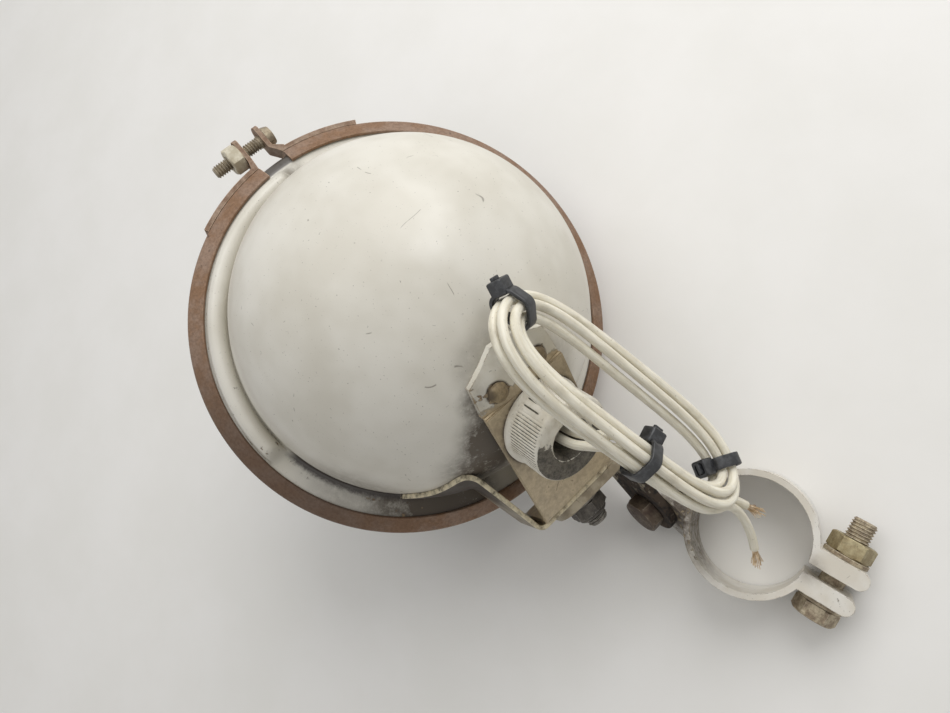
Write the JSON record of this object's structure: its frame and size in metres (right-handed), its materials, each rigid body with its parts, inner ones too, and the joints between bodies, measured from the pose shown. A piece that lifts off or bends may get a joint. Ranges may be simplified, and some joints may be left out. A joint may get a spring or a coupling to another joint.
{
  "type": "aircraft landing light",
  "caption": "Sealed-beam landing light in a domed steel housing on a riveted bracket, aimed by a swivel link and pivot, with a split clamp for a round strut and a tied wire loop.",
  "frame": {"origin": "centre of the strut clamp's bore", "axes": "+Z along the clamp's bore, to the side that the wires lie on; +X out through the clamp's split; +Y along the clamp's bolt, from its head to its nut"},
  "size_m": [0.2473, 0.1493, 0.127],
  "materials": {
    "white_paint": "worn glossy enamel",
    "chipped_paint": "chipped enamel over tan primer",
    "rusted_band": "brown rust",
    "dull_steel": "dull and stained",
    "cream_nut": "dirty cream overspray",
    "dark_steel": "dark stained steel",
    "rusty_bolt": "rusty plating",
    "yellow_plate": "yellow chromate plating",
    "tarnished_rivet": "tarnished",
    "boot_rubber": "worn rubber, partly over-painted",
    "gasket_rubber": "matte",
    "mirror_glass": "aluminised inside",
    "clear_glass": "clear",
    "lamp_metal": "plated",
    "wire_cover": "satin woven jacket",
    "copper": "bare tinned copper strands",
    "tie_nylon": "moulded"
  },
  "bodies": {
    "strut_clamp": {"tube_clamp": "white_paint", "clamp_bolt": "dull_steel", "clamp_washers": "dull_steel", "clamp_nut": "yellow_plate"},
    "link": {"swivel_link": "dark_steel", "pivot_bolt": "rusty_bolt", "pivot_washer": "rusty_bolt", "pivot_nut": "rusty_bolt"},
    "lamp_head": {"housing": "white_paint", "rim_gasket": "gasket_rubber", "lamp_reflector": "mirror_glass", "lamp_lens": "clear_glass", "lamp_terminals": "lamp_metal", "terminal_screws": "lamp_metal", "lead_lugs": "lamp_metal", "filament_posts": "lamp_metal", "lamp_filament": "lamp_metal", "v_band": "rusted_band", "band_lug_nut_side": "rusted_band", "band_lug_head_side": "rusted_band", "band_screw": "dull_steel", "band_nut": "cream_nut", "mount_bracket": "chipped_paint", "bracket_rivets": "tarnished_rivet", "brace_strip": "chipped_paint", "rubber_boot": "boot_rubber", "flange_bolt": "dull_steel", "flange_washer": "dull_steel", "flange_lock_nut": "dull_steel", "internal_leads": "wire_cover", "wire_leads": "wire_cover", "wire_coil": "wire_cover", "wire_tails": "wire_cover", "bare_ends": "copper", "loop_tie_left": "tie_nylon", "loop_tie_middle": "tie_nylon", "loop_tie_right": "tie_nylon"}
  },
  "joints": [
    {"name": "clamp_pivot", "type": "hinge", "parent": "strut_clamp", "child": "link", "pos_m": [-0.03227, -0.00673, 0], "axis": [0.1638, 0.8837, -0.4384], "range_deg": [-90, 15]},
    {"name": "link_swivel", "type": "hinge", "parent": "link", "child": "lamp_head", "pos_m": [-0.05562, -0.01709, 0.02058], "axis": [0.8116, -0.3733, -0.4494], "range_deg": [-10, 60]}
  ]
}
